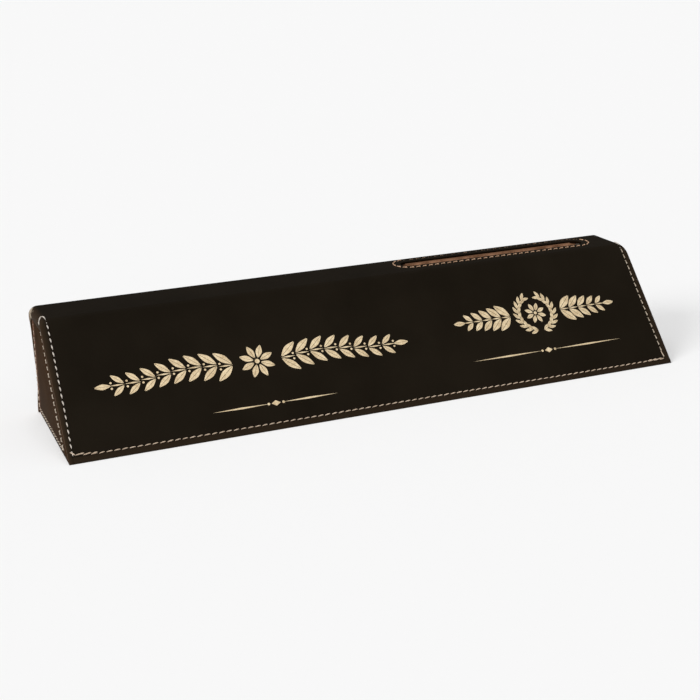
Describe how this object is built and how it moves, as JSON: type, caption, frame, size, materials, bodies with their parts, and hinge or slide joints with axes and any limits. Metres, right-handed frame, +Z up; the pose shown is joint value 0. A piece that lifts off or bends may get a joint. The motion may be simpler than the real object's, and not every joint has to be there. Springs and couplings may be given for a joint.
{
  "type": "desk name plate",
  "caption": "Long desk name plate: a leatherette wedge with a sloping face, stitched edges and, in its flat top, a slot with a lined pocket for business cards.",
  "frame": {"origin": "on the desk, under the middle of the base panel", "axes": "+X along the plate to the right as one reads it, -Y the way the sloping face looks, +Z up"},
  "size_m": [0.2666, 0.0633, 0.0459],
  "materials": {
    "leatherette": "matte fine grain, near-black brown",
    "greyboard": "raw grey board",
    "pocket_card": "thin brown card",
    "lining": "copper-brown suede-like lining",
    "thread": "cream sewing thread"
  },
  "bodies": {
    "root": {"wrap_cover": "leatherette", "left_end_panel": "leatherette", "right_end_panel": "leatherette", "base_panel": "leatherette", "front_board": "greyboard", "top_board": "greyboard", "back_board": "greyboard", "base_board": "greyboard", "left_end_board": "greyboard", "right_end_board": "greyboard", "pocket_front_wall": "pocket_card", "pocket_back_wall": "pocket_card", "pocket_left_wall": "pocket_card", "pocket_right_wall": "pocket_card", "pocket_floor": "pocket_card", "pocket_front_lining": "lining", "pocket_back_lining": "lining", "front_thread": "thread", "back_thread": "thread", "slot_thread": "thread", "left_end_thread": "thread", "right_end_thread": "thread"}
  },
  "joints": []
}
